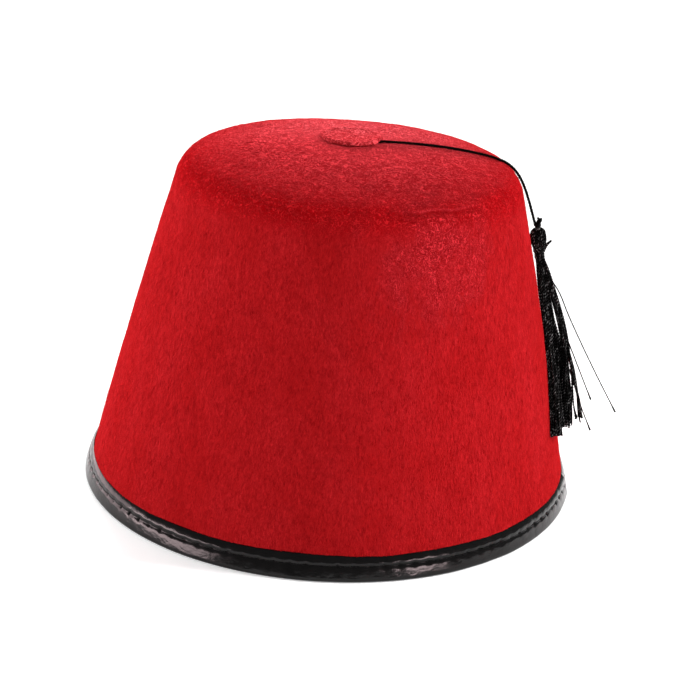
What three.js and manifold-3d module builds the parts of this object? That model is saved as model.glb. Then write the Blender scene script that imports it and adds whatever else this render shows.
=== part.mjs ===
// Fez hat: a moulded felt crown with a bound rim, a felt button on top and a tassel on a twisted cord.
// Millimetres, +Z up. The origin is the middle of the rim on the surface that the hat stands on.
// The head's long axis runs along Y, with the front at -Y, and the tassel hangs behind the left ear.

import * as THREE from 'three';
import { mergeVertices } from 'three/addons/utils/BufferGeometryUtils.js';
import Module from 'manifold-3d';

const wasm = await Module();
wasm.setup();

// Clearance between pieces that touch on the real hat
const GAP = 0.3;

// Vertices nearer than this are one vertex
const WELD = 1e-3;

// Rim and crown
const RIM_RADIUS = 96; // mean radius outside the binding
const RIM_OVAL = 0.0225; // share by which the rim is longer along Y and shorter along X
const CORNER_RADIUS = 63.5; // where the wall's line meets the dome's edge
const CORNER_HEIGHT = 125.8;
const CORNER_ROUND = 12.5;
const DOME_RISE = 9; // height of the dome over its edge
const FELT = 2;
const CROWN_SIDES = 64;
const WALL_STEPS = 4;
const CORNER_STEPS = 6;
const DOME_STEPS = 4;

// Binding tape folded round the rim
const TAPE = 0.8;
const TAPE_OUTSIDE = 8.7; // height of the fold's outer leg
const TAPE_INSIDE = 8.2; // height of the fold's inner leg
const FOLD_ROUND = 1; // how far the fold's lower corners are cut back

// Button on the middle of the top
const BUTTON_RADIUS = 11.5;
const BUTTON_THICK = 1.2;
const BUTTON_EDGE = 0.4; // rounding of its upper edge
const BUTTON_SHIFT = 0.6; // off the axis, away from the tassel
const BUTTON_SIDES = 40;
const BUTTON_STEPS = 2;

// Hanging direction of the cord and the tassel, turned from +X towards +Y. In this frame a point is given
// by how far out it is, how far to the side and how high up.
const HANG_ANGLE = THREE.MathUtils.degToRad(32);

// Twisted cord, from the button's edge over the corner to the knot
const CORD_DIAMETER = 1;
const CORD_SIDES = 8;
const CORD_STEPS = 40;
const CORD_ROUTE = [
  { out: 10.9, side: -3.5, up: 135.3 },
  { out: 13.9, side: -2.7, up: 135.15 },
  { out: 16.9, side: -1.7, up: 134.95 },
  { out: 20.6, side: -0.5, up: 134.65 },
  { out: 25.2, side: 1.0, up: 134.2 },
  { out: 30.0, side: 2.7, up: 133.6 },
  { out: 34.8, side: 4.3, up: 132.9 },
  { out: 39.4, side: 5.9, up: 132.1 },
  { out: 43.8, side: 7.4, up: 131.25 },
  { out: 48.0, side: 8.7, up: 130.35 },
  { out: 51.8, side: 9.5, up: 129.45 },
  { out: 55.2, side: 9.7, up: 128.55 },
  { out: 58.3, side: 9.4, up: 127.55 },
  { out: 60.9, side: 8.8, up: 126.0 },
  { out: 62.9, side: 8.0, up: 124.15 },
  { out: 64.6, side: 7.1, up: 121.9 },
  { out: 66.1, side: 6.3, up: 119.2 },
  { out: 67.5, side: 5.6, up: 116.1 },
  { out: 68.7, side: 5.0, up: 113.1 },
  { out: 69.8, side: 4.4, up: 110.1 },
  { out: 70.9, side: 3.9, up: 107.1 },
];

// Knot at the cord's lower end, with the cord's cut end standing up beside it
const KNOT_PLACE = { out: 72.2, side: 3.6, up: 105.8 };
const KNOT_RADIUS = 1.4;
const KNOT_HEIGHT = 2;
const KNOT_SIDES = 12;
const KNOT_STEPS = 6;
const KNOT_TAIL = [
  { out: 72.4, side: 3.6, up: 106.1 },
  { out: 72.7, side: 3.5, up: 107.2 },
  { out: 72.9, side: 3.4, up: 108.3 },
];
const KNOT_TAIL_DIAMETER = 1.7;
const TAIL_STEPS = 3;

// Tassel head: a ball of folded threads drawn in to a neck
const HEAD_PLACE = { out: 73.1, side: 3.2, up: 100.7 };
const HEAD_LEAN = THREE.MathUtils.degToRad(10);
const HEAD_SIDES = 14;
const HEAD_PROFILE = [
  { radius: 0, up: 3.8 },
  { radius: 1.6, up: 3.6 },
  { radius: 2.6, up: 2.7 },
  { radius: 3.0, up: 1.2 },
  { radius: 3.0, up: -0.8 },
  { radius: 2.6, up: -2.6 },
  { radius: 2.0, up: -4.2 },
  { radius: 2.0, up: -5.6 },
  { radius: 2.1, up: -9.4 },
  { radius: 0, up: -10.0 },
];

// Thread wound round the neck, with a cut tail
const TIE_THREAD = 0.55;
const TIE_UP = -4.7; // from the head's middle
const TIE_SIDES = 16;
const TIE_TAIL = [
  { out: 2.6, side: 0, up: -4.7 },
  { out: 3.1, side: -0.2, up: -3.4 },
  { out: 3.9, side: -0.4, up: -2.3 },
  { out: 4.9, side: -0.6, up: -1.3 },
];

// Skirt of locks. Each lock leaves the neck and spreads to the side and stand-off from the felt that its
// row gives for its lower end. Its flare is the power of the spread along it: a low one spreads it close
// below the neck. Its belly is how much further it stands off halfway down. Its swing brings it nearer to
// the felt in its upper half and further from it in its lower half.
const NECK = { side: 2, standOff: 3, up: 91.4 };
const NECK_SPREAD = 0.16; // share of a lock's own offset that it already has at the neck
const LOCK_SIDES = 6;
const LOCK_STEPS = 8;
const LOCKS = [
  { side: -21, standOff: 1.6, end: 30.2, thick: 2.6, flare: 0.35, belly: -0.1, swing: 0.3 },
  { side: -17, standOff: 1.6, end: 29, thick: 2.6, flare: 0.35, belly: -0.1, swing: 0.3 },
  { side: -13, standOff: 1.3, end: 27.6, thick: 2, flare: 0.35, belly: 0.2, swing: 0.2 },
  { side: -10, standOff: 1.3, end: 27.3, thick: 2.2, flare: 0.35, belly: 0.9, swing: -0.2 },
  { side: -8, standOff: 2, end: 28.2, thick: 2, flare: 0.35, belly: 1.4, swing: -0.4 },
  { side: -3, standOff: 1.4, end: 26, thick: 2.2, flare: 0.35, belly: 1.2, swing: 0 },
  { side: 2.5, standOff: 1.4, end: 26.7, thick: 2.2, flare: 0.35, belly: 0.2, swing: 0 },
  { side: -2, standOff: 3.6, end: 26.4, thick: 2.1, flare: 0.35, belly: 1.7, swing: 1.1 },
  { side: -4, standOff: 4.8, end: 27.7, thick: 1.4, flare: 0.45, belly: 2.7, swing: 0 },
  { side: 1.5, standOff: 2, end: 26.8, thick: 2.1, flare: 0.4, belly: 1.6, swing: 0.4 },
  { side: -1.5, standOff: 9.8, end: 28.7, thick: 1.4, flare: 0.62, belly: 1, swing: 0 },
  { side: -4.5, standOff: 5.2, end: 28.2, thick: 1.4, flare: 0.5, belly: 2.6, swing: 0 },
];

const COLOURS = {
  felt: 0xb3161c,
  button: 0xc32a31,
  tape: 0x121212,
  thread: 0x0c0b0b,
};

// The wall's outer face is a straight line in the plane of radius and height
const wallLean = Math.atan2(RIM_RADIUS - CORNER_RADIUS, CORNER_HEIGHT); // from upright
const wallFoot = RIM_RADIUS - (TAPE + GAP) / Math.cos(wallLean);
const wallUp = new THREE.Vector2(CORNER_RADIUS - wallFoot, CORNER_HEIGHT).normalize();
const wallIn = new THREE.Vector2(-wallUp.y, wallUp.x);

// The dome is a sphere through the corner and the top
const domeRadius = (CORNER_RADIUS ** 2 + DOME_RISE ** 2) / (2 * DOME_RISE);
const domeCentre = new THREE.Vector2(0, CORNER_HEIGHT + DOME_RISE - domeRadius);

// The rounded corner is a circle that touches the wall's line and the dome from inside
const roundCentre = findRoundCentre();
const roundFrom = Math.atan2(-wallIn.y, -wallIn.x);
const roundTo = roundCentre.clone().sub(domeCentre).angle();

function findRoundCentre() {
  const start = new THREE.Vector2(wallFoot, 0).addScaledVector(wallIn, CORNER_ROUND);
  const fromDome = start.clone().sub(domeCentre);
  const along = fromDome.dot(wallUp);
  const reach = domeRadius - CORNER_ROUND;
  const travel = -along + Math.sqrt(along ** 2 - fromDome.lengthSq() + reach ** 2);
  return start.addScaledVector(wallUp, travel);
}

// Point at a height on the wall's line, moved inwards through the felt by inset
function wallPoint(inset, height) {
  const base = new THREE.Vector2(wallFoot, 0).addScaledVector(wallIn, inset);
  return base.addScaledVector(wallUp, (height - base.y) / wallUp.y);
}

function around(centre, radius, angle) {
  return new THREE.Vector2(Math.cos(angle), Math.sin(angle)).multiplyScalar(radius).add(centre);
}

function arc(centre, radius, from, to, steps) {
  const points = [];
  for (let step = 0; step <= steps; step += 1) {
    points.push(around(centre, radius, THREE.MathUtils.lerp(from, to, step / steps)));
  }
  return points;
}

// Face of the crown from its foot to the axis, inset from the outside
function crownFace(inset, footHeight) {
  const corner = arc(roundCentre, CORNER_ROUND - inset, roundFrom, roundTo, CORNER_STEPS);
  const dome = arc(domeCentre, domeRadius - inset, roundTo, Math.PI / 2, DOME_STEPS);
  const wall = [];
  for (let step = 0; step < WALL_STEPS; step += 1) {
    wall.push(wallPoint(inset, THREE.MathUtils.lerp(footHeight, corner[0].y, step / WALL_STEPS)));
  }
  dome[DOME_STEPS].x = 0;
  return [...wall, ...corner, ...dome.slice(1)];
}

// Share by which the oval changes the radius, fading from the rim to the corner
function ovalShare(height, azimuth) {
  const fade = THREE.MathUtils.clamp(1 - height / CORNER_HEIGHT, 0, 1);
  return 1 - RIM_OVAL * fade * Math.cos(2 * azimuth);
}

// Turned solid with +Z as its axis
function turned(profile, sides) {
  return new THREE.LatheGeometry(profile, sides).rotateX(Math.PI / 2);
}

function makeOval(geometry) {
  const position = geometry.getAttribute('position');
  for (let index = 0; index < position.count; index += 1) {
    const x = position.getX(index);
    const y = position.getY(index);
    const z = position.getZ(index);
    const share = ovalShare(z, Math.atan2(y, x));
    position.setXYZ(index, x * share, y * share, z);
  }
  geometry.computeVertexNormals();
  return geometry;
}

function crownGeometry() {
  const footHeight = TAPE + GAP;
  const inner = crownFace(FELT, footHeight);
  const outer = crownFace(0, footHeight);
  return makeOval(turned([...inner.reverse(), ...outer], CROWN_SIDES));
}

function bindingGeometry() {
  const outside = -(GAP + TAPE);
  const inside = FELT + GAP + TAPE;
  const outerFoot = wallPoint(outside, 0);
  const innerFoot = wallPoint(inside, 0);
  const section = [
    wallPoint(outside, TAPE_OUTSIDE),
    wallPoint(-GAP, TAPE_OUTSIDE),
    wallPoint(-GAP, TAPE),
    wallPoint(FELT + GAP, TAPE),
    wallPoint(FELT + GAP, TAPE_INSIDE),
    wallPoint(inside, TAPE_INSIDE),
    wallPoint(inside, FOLD_ROUND),
    new THREE.Vector2(innerFoot.x + FOLD_ROUND, 0),
    new THREE.Vector2(outerFoot.x - FOLD_ROUND, 0),
    wallPoint(outside, FOLD_ROUND),
  ];
  return makeOval(turned([...section, section[0]], CROWN_SIDES));
}

function buttonGeometry() {
  const under = domeRadius + GAP;
  const over = under + BUTTON_THICK;
  const rimAngle = Math.acos(BUTTON_RADIUS / under);
  const topAngle = Math.acos((BUTTON_RADIUS - BUTTON_EDGE) / over);
  const bottom = arc(domeCentre, under, Math.PI / 2, rimAngle, BUTTON_STEPS);
  const edge = around(domeCentre, over - BUTTON_EDGE, rimAngle);
  const top = arc(domeCentre, over, topAngle, Math.PI / 2, BUTTON_STEPS);
  bottom[0].x = 0;
  top[BUTTON_STEPS].x = 0;
  return turned([...bottom, edge, ...top], BUTTON_SIDES);
}

function placeOf(point) {
  return new THREE.Vector3(point.out, point.side, point.up);
}

// Closed tube with a regular section along a smooth curve
function tubeAlong(points, diameter, sides, steps) {
  const corners = [];
  for (let side = 0; side < sides; side += 1) {
    const angle = (2 * Math.PI * side) / sides;
    corners.push(new THREE.Vector2(Math.cos(angle), Math.sin(angle)).multiplyScalar(diameter / 2));
  }
  const extrudePath = new THREE.CatmullRomCurve3(points, false, 'centripetal');
  return new THREE.ExtrudeGeometry(new THREE.Shape(corners), { steps, bevelEnabled: false, extrudePath });
}

function solidOf(geometry) {
  geometry.deleteAttribute('normal');
  geometry.deleteAttribute('uv');
  const merged = mergeVertices(geometry, WELD);
  const vertProperties = merged.getAttribute('position').array;
  const triVerts = new Uint32Array(merged.index.array);
  return new wasm.Manifold(new wasm.Mesh({ numProp: 3, vertProperties, triVerts }));
}

function fuse(geometries) {
  const mesh = geometries.map(solidOf).reduce((whole, piece) => whole.add(piece)).getMesh();
  const fused = new THREE.BufferGeometry();
  fused.setAttribute('position', new THREE.BufferAttribute(mesh.vertProperties, 3));
  fused.setIndex(new THREE.BufferAttribute(mesh.triVerts, 1));
  fused.computeVertexNormals();
  return fused;
}

function knotGeometry() {
  const profile = [];
  for (let step = 0; step <= KNOT_STEPS; step += 1) {
    const angle = Math.PI * (step / KNOT_STEPS - 0.5);
    const radius = step % KNOT_STEPS === 0 ? 0 : KNOT_RADIUS * Math.cos(angle);
    profile.push(new THREE.Vector2(radius, (KNOT_HEIGHT / 2) * Math.sin(angle)));
  }
  const ball = turned(profile, KNOT_SIDES).translate(...placeOf(KNOT_PLACE).toArray());
  const tail = tubeAlong(KNOT_TAIL.map(placeOf), KNOT_TAIL_DIAMETER, LOCK_SIDES, TAIL_STEPS);
  return fuse([ball, tail]);
}

// The head and the tie are made upright about the head's middle, then leant and put in place
function placeOnHead(geometry) {
  return geometry.rotateY(-HEAD_LEAN).translate(...placeOf(HEAD_PLACE).toArray());
}

function headGeometry() {
  const profile = HEAD_PROFILE.map((row) => new THREE.Vector2(row.radius, row.up));
  return placeOnHead(turned(profile.reverse(), HEAD_SIDES));
}

function tieGeometry() {
  const neckRow = HEAD_PROFILE.find((row) => row.up < TIE_UP);
  const centre = new THREE.Vector2(neckRow.radius + GAP + TIE_THREAD / 2, TIE_UP);
  const section = arc(centre, TIE_THREAD / 2, -Math.PI, Math.PI, LOCK_SIDES);
  const ring = turned(section, TIE_SIDES);
  const tail = tubeAlong(TIE_TAIL.map(placeOf), TIE_THREAD, LOCK_SIDES, TAIL_STEPS);
  return placeOnHead(fuse([ring, tail]));
}

// Point over the wall, a distance round it from the hanging direction and clear of the felt by standOff
function besideWall(side, standOff, height) {
  const meanRadius = wallPoint(0, height).x;
  const angle = side / meanRadius;
  const radius = meanRadius * ovalShare(height, angle + HANG_ANGLE) + standOff / wallUp.y;
  return new THREE.Vector3(radius * Math.cos(angle), radius * Math.sin(angle), height);
}

function lockGeometry(lock) {
  const points = [];
  for (let step = 0; step <= LOCK_STEPS; step += 1) {
    const along = step / LOCK_STEPS;
    const spread = NECK_SPREAD + (1 - NECK_SPREAD) * along ** lock.flare;
    const side = THREE.MathUtils.lerp(NECK.side, lock.side, along * spread);
    const bulge = lock.belly * Math.sin(Math.PI * along) - lock.swing * Math.sin(2 * Math.PI * along);
    const standOff = THREE.MathUtils.lerp(NECK.standOff, lock.standOff, spread) + bulge;
    points.push(besideWall(side, standOff, THREE.MathUtils.lerp(NECK.up, lock.end, along)));
  }
  return tubeAlong(points, lock.thick, LOCK_SIDES, LOCK_STEPS);
}

function tasselGeometry() {
  return fuse([headGeometry(), ...LOCKS.map(lockGeometry)]);
}

function piece(name, geometry, color, roughness) {
  const material = new THREE.MeshStandardMaterial({ color, roughness, metalness: 0 });
  const mesh = new THREE.Mesh(geometry, material);
  mesh.name = name;
  return mesh;
}

const button = piece('top_button', buttonGeometry(), COLOURS.button, 0.95);
button.position.x = -BUTTON_SHIFT;

const cordGeometry = tubeAlong(CORD_ROUTE.map(placeOf), CORD_DIAMETER, CORD_SIDES, CORD_STEPS);

const hanging = new THREE.Group();
hanging.rotation.z = HANG_ANGLE;
hanging.add(
  button,
  piece('tassel_cord', cordGeometry, COLOURS.thread, 0.6),
  piece('cord_knot', knotGeometry(), COLOURS.thread, 0.6),
  piece('tassel', tasselGeometry(), COLOURS.thread, 0.5),
  piece('neck_tie', tieGeometry(), COLOURS.thread, 0.6),
);

const fez = new THREE.Group();
fez.add(
  piece('crown', crownGeometry(), COLOURS.felt, 0.95),
  piece('rim_binding', bindingGeometry(), COLOURS.tape, 0.3),
  hanging,
);

export default fez;
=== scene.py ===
# Fez hat: moulded felt crown, vinyl-bound rim, felt button, twisted cord and tassel. Metres, +Z up.
import itertools
import math

import bmesh
import bpy
import numpy as np
from mathutils import Matrix, Vector


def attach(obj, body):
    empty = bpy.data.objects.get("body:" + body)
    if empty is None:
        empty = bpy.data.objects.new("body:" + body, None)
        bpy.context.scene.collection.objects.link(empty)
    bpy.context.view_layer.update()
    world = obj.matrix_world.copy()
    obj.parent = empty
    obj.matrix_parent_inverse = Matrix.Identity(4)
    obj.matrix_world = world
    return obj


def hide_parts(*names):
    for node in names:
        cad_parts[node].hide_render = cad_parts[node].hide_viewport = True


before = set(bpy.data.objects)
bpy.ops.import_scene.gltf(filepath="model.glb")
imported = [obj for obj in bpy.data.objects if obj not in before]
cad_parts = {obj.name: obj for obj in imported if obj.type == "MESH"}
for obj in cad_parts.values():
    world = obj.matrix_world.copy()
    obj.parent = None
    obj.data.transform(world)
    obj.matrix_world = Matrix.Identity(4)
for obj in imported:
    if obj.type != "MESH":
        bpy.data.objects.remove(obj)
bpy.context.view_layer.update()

chance = np.random.default_rng(1890)

# Points nearer than this are one point
WELD = 1e-7

# The hat's driving sizes, as the solids have them
GAP = 0.0003
RIM_RADIUS = 0.096
RIM_OVAL = 0.0225
CORNER_RADIUS = 0.0635
CORNER_HEIGHT = 0.1258
CORNER_ROUND = 0.0125
DOME_RISE = 0.009
FELT = 0.002
TAPE = 0.0008
TAPE_INSIDE = 0.0082
BUTTON_RADIUS = 0.0115
BUTTON_THICK = 0.0012
BUTTON_SHIFT = 0.0006

# The cord and the tassel are given in a frame turned by this angle: out, to the side and up
HANG_ANGLE = math.radians(32)
HANG_TURN = np.array(Matrix.Rotation(HANG_ANGLE, 3, "Z"))

# Camera: level distance from the hat's axis, height, lens and sensor in millimetres, turns
CAMERA_DISTANCE = 0.6775
CAMERA_HEIGHT = 0.3119
CAMERA_LENS = 96.13
CAMERA_SENSOR = 36
CAMERA_YAW = 0.0074
CAMERA_PITCH = 0.3683
CAMERA_ROLL = 0.0793

# Lights: degrees round to the camera's right, degrees up, width, height, power
LIGHTS = [
    ("back_softbox", 180, 12, 2.5, 1.25, 300),
    ("left_back_softbox", -135, 12, 1.75, 1.25, 82),
    ("left_softbox", -100, 12, 1.75, 1.25, 64),
    ("right_softbox", 100, 12, 1.75, 1.25, 27),
    ("right_lamp", 100, 38, 0.5, 0.4, 87),
    ("front_screen", 0, 38, 6.0, 4.0, 58),
]
# Cards that show only as reflections in the tape
CARDS = [
    ("left_card", -70, 5, 2.6, 0.8, 96),
    ("left_back_card", -120, 9, 3.4, 1.1, 56),
    ("right_card", 49, 6, 0.9, 0.6, 34),
]
CARD_TINT = (1.0, 0.78, 0.80)
LIGHT_DISTANCE = 3.0
LIGHT_AIM = 0.07
FILL = 0.2

# Pale floor: half its width, painted glow, patches to the metre, roughness, tones, and where it is painted
# darker towards the strong back light
FLOOR_REACH = 6.0
FLOOR_PAINTED_GLOW = 0.25
FLOOR_PATCHES = 3
FLOOR_ROUGH = (0.85, 0.95)
FLOOR_PALE = (0.93, 0.93, 0.93, 1), (0.95, 0.95, 0.95, 1)
FLOOR_SHADE_MID = (0.56, 0.56, 0.56, 1)
FLOOR_SHADE_DEEPEST = (0.36, 0.36, 0.36, 1)
FLOOR_MIDDLING_AT = 0.2
FLOOR_DARKEST_AT = 1.0

# Twisted cord, from the button's edge over the corner to the knot
CORD_UNDER_BUTTON = (0.0094, -0.0039, 0.1351)
CORD_ROUTE = [
    (0.0109, -0.0035, 0.1353), (0.0139, -0.0027, 0.13515), (0.0169, -0.0017, 0.13495),
    (0.0206, -0.0005, 0.13465), (0.0252, 0.0010, 0.1342), (0.0300, 0.0027, 0.1336),
    (0.0348, 0.0043, 0.1329), (0.0394, 0.0059, 0.1321), (0.0438, 0.0074, 0.13125),
    (0.0480, 0.0087, 0.13035), (0.0518, 0.0095, 0.12945), (0.0552, 0.0097, 0.12855),
    (0.0583, 0.0094, 0.12755), (0.0609, 0.0088, 0.1260), (0.0629, 0.0080, 0.12415),
    (0.0646, 0.0071, 0.1219), (0.0661, 0.0063, 0.1192), (0.0675, 0.0056, 0.1161),
    (0.0687, 0.0050, 0.1131), (0.0698, 0.0044, 0.1101), (0.0709, 0.0039, 0.1071),
]
CORD_STEPS = 260
CORD_PLIES = 3
CORD_PITCH = 0.0034
PLY_RADIUS = 0.00029
PLY_SIDES = 7


# Helpers for shapes

UP = np.array([0, 0, 1])
NEARLY_UPRIGHT = 0.9


def unit(vectors):
    return vectors / np.linalg.norm(vectors, axis=-1, keepdims=True)


def lattice_noise(points, cell, seed):
    """Smooth noise from -1 to 1 with bumps about as wide as cell, a length or one for each axis."""
    scaled = points / cell
    base = np.floor(scaled).astype(np.int64)
    part = scaled - base
    blend = part * part * (3 - 2 * part)
    total = np.zeros(points.shape[:-1])
    for corner in itertools.product((0, 1), repeat=3):
        key = (base + corner) @ np.array([374761393, 668265263, 2147483647]) + seed * 1274126177
        key = (key ^ (key >> 13)) * 1274126177
        value = ((key ^ (key >> 16)) & 0xFFFF) / 0xFFFF
        total += value * np.prod(np.where(corner, blend, 1 - blend), axis=-1)
    return 2 * total - 1


def bumps(points, rows):
    """Unevenness from rows of height, width of the bumps and seed."""
    return sum(height * lattice_noise(points, width, seed) for height, width, seed in rows)


def share_between(value, low, high):
    return np.clip((value - low) / (high - low), 0, 1)


def bell(offset, wide):
    return np.exp(-(offset / wide) ** 2)


def all_round(count):
    """Angles in so many equal steps round a circle."""
    return math.tau * np.arange(count) / count


def lengths_along(path):
    return np.concatenate([[0], np.cumsum(np.linalg.norm(np.diff(path, axis=0), axis=1))])


def smooth_curve(points, count):
    """Points spaced about evenly on a smooth curve through the given ones."""
    points = np.asarray(points, float)
    place = lengths_along(points)
    slope = np.gradient(points, place, axis=0)
    wanted = np.linspace(0, place[-1], count)
    start = np.clip(np.searchsorted(place, wanted, side="right") - 1, 0, len(points) - 2)
    step = (place[start + 1] - place[start])[:, None]
    t = (wanted - place[start])[:, None] / step
    ease = t * t * (3 - 2 * t)
    bend = step * t * (1 - t) * ((1 - t) * slope[start] - t * slope[start + 1])
    return (1 - ease) * points[start] + ease * points[start + 1] + bend


def frames_along(path):
    """Two directions across a path at each of its points, which don't spin round it."""
    ahead = unit(np.gradient(path, axis=0))
    across = np.empty_like(path)
    side = np.cross(ahead[0], UP if abs(ahead[0][2]) < NEARLY_UPRIGHT else (1, 0, 0))
    for index, way in enumerate(ahead):
        side = unit(side - np.dot(side, way) * way)
        across[index] = side
    return across, np.cross(ahead, across)


def grid_quads(rows, columns):
    """Quads of a grid of points, row after row, whose last column joins its first."""
    row, column = np.meshgrid(np.arange(rows - 1) * columns, np.arange(columns), indexing="ij")
    beside = (column + 1) % columns
    quads = np.stack([row + column, row + beside, row + columns + beside, row + columns + column], axis=-1)
    return quads.reshape(-1, 4)


def put_in_scene(name, data):
    made = bpy.data.objects.new(name, data)
    bpy.context.collection.objects.link(made)
    return made


class Heap:
    """Points and faces of small shapes that become one mesh. Each corner has a place round and along."""

    def __init__(self):
        self.points = []
        self.faces = []
        self.places = []
        self.count = 0

    def add(self, points, faces, places=None):
        self.points.append(points)
        self.faces.extend((np.asarray(face) + self.count).tolist() for face in faces)
        corners = sum(len(face) for face in faces)
        self.places.append(np.zeros((corners, 2)) if places is None else places)
        self.count += len(points)

    def add_rings(self, path, across, other, radius, closed=False, start=0.0):
        """Tube along a path. The radius has a row for each ring and a column for each side."""
        rings, sides = radius.shape
        angle = all_round(sides)
        way = np.cos(angle)[:, None] * across[:, None] + np.sin(angle)[:, None] * other[:, None]
        points = (path[:, None] + radius[..., None] * way).reshape(-1, 3)
        quads = grid_quads(rings + closed, sides)
        length = start + lengths_along(np.concatenate([path, path[:1]]))
        row, column = np.divmod(quads, sides)
        column[:, 1:3] = column[:, [0]] + 1
        places = np.stack([column / sides, length[row]], axis=-1).reshape(-1, 2)
        faces = list(quads % len(points))
        if not closed:
            faces += [np.arange(sides)[::-1], np.arange(len(points) - sides, len(points))]
            places = np.concatenate([places, np.zeros((2 * sides, 2))])
        self.add(points, faces, places)

    def add_turned(self, points):
        """Rows of points round an axis, of which the first and the last are drawn together."""
        points[0] = points[0].mean(axis=0)
        points[-1] = points[-1].mean(axis=0)
        self.add(points.reshape(-1, 3), grid_quads(*points.shape[:2]))

    def add_tube(self, path, radius, sides):
        """Round tube along a path, with one radius or one for each point."""
        radius = np.broadcast_to(np.reshape(radius, (-1, 1)), (len(path), sides))
        self.add_rings(path, *frames_along(path), radius)

    def add_twist(self, path):
        """Thread of two plies, as a section with two lobes that turns along the path. The plies start
        anywhere in their turn and open at the path's end."""
        start = chance.uniform(0, THREAD_PITCH)
        length = lengths_along(path)[:, None]
        turn = math.tau * (start + length) / THREAD_PITCH
        open_end = 1 + FRAY * np.clip(1 - (length[-1] - length) / FRAY_LENGTH, 0, 1)
        lobes = 1 + TWIST_LOBE * np.cos(2 * (all_round(THREAD_SIDES) - turn))
        self.add_rings(path, *frames_along(path), THREAD_RADIUS * open_end * lobes, start=start)

    def add_loop(self, loop, radius, sides):
        """Round tube along a level loop that closes on itself."""
        ahead = unit(np.roll(loop, -1, axis=0) - np.roll(loop, 1, axis=0))
        across = unit(np.cross(ahead, UP))
        radius = np.full((len(loop), sides), radius)
        self.add_rings(loop, across, np.cross(ahead, across), radius, closed=True)

    def piece(self, name, finish, slot, *nodes):
        """The heap as an object that rides with the hat and stands for the given solids."""
        mesh = bpy.data.meshes.new(name)
        mesh.from_pydata(np.concatenate(self.points).tolist(), [], self.faces)
        layer = mesh.uv_layers.new(name="thread")
        layer.data.foreach_set("uv", np.concatenate(self.places).astype(np.float32).ravel())
        shape = bmesh.new()
        shape.from_mesh(mesh)
        bmesh.ops.remove_doubles(shape, verts=shape.verts, dist=WELD)
        bmesh.ops.recalc_face_normals(shape, faces=shape.faces)
        shape.to_mesh(mesh)
        shape.free()
        mesh.polygons.foreach_set("use_smooth", np.ones(len(mesh.polygons), bool))
        mesh.materials.append(finish)
        made = put_in_scene(name, mesh)
        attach(made, "root")
        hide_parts(*nodes)
        return made


def hung(points):
    """Points of the hanging frame in the hat's own frame."""
    return np.asarray(points, float) @ HANG_TURN.T


# Lines of the crown in the plane of radius and height

wall_lean = math.atan2(RIM_RADIUS - CORNER_RADIUS, CORNER_HEIGHT)
wall_foot = RIM_RADIUS - (TAPE + GAP) / math.cos(wall_lean)
wall_up = unit(np.array([CORNER_RADIUS - wall_foot, CORNER_HEIGHT]))
wall_in = np.array([-wall_up[1], wall_up[0]])
dome_radius = (CORNER_RADIUS ** 2 + DOME_RISE ** 2) / (2 * DOME_RISE)
dome_centre = np.array([0, CORNER_HEIGHT + DOME_RISE - dome_radius])


def find_round_centre():
    """Middle of the circle that touches the wall's line and the dome from inside."""
    start = np.array([wall_foot, 0]) + wall_in * CORNER_ROUND
    from_dome = start - dome_centre
    along = from_dome @ wall_up
    reach = dome_radius - CORNER_ROUND
    return start + wall_up * (math.sqrt(along ** 2 - from_dome @ from_dome + reach ** 2) - along)


round_centre = find_round_centre()
round_from = math.atan2(-wall_in[1], -wall_in[0])
round_to = math.atan2(*(round_centre - dome_centre)[::-1])


def wall_points(inset, height):
    """Radius and height of points so far in from the wall's line."""
    base = np.array([wall_foot, 0]) + wall_in * np.reshape(inset, (-1, 1))
    return base + wall_up * (np.reshape(height, (-1, 1)) - base[:, 1:]) / wall_up[1]


def arc(centre, radius, start, end, count):
    angle = np.linspace(start, end, count)
    return centre + radius * np.stack([np.cos(angle), np.sin(angle)], axis=1)


def around_axis(radius, height, angle):
    return np.stack([radius * np.cos(angle), radius * np.sin(angle), height + 0 * angle], axis=-1)


def level_ways(azimuth):
    """Level directions away from the axis."""
    return around_axis(1, 0, azimuth)


def oval_share(height, azimuth):
    fade = np.clip(1 - height / CORNER_HEIGHT, 0, 1)
    return 1 - RIM_OVAL * fade * np.cos(2 * azimuth)


def carried_round(radius, height, azimuth):
    """Points at a radius and height, at an azimuth on the hat's oval."""
    return around_axis(radius * oval_share(height, azimuth), height, azimuth)


# Materials

# What the values of a noise mostly lie between, and their middle
NOISE_RANGE = (0.3, 0.7)
NOISE_MIDDLE = 0.5


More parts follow.
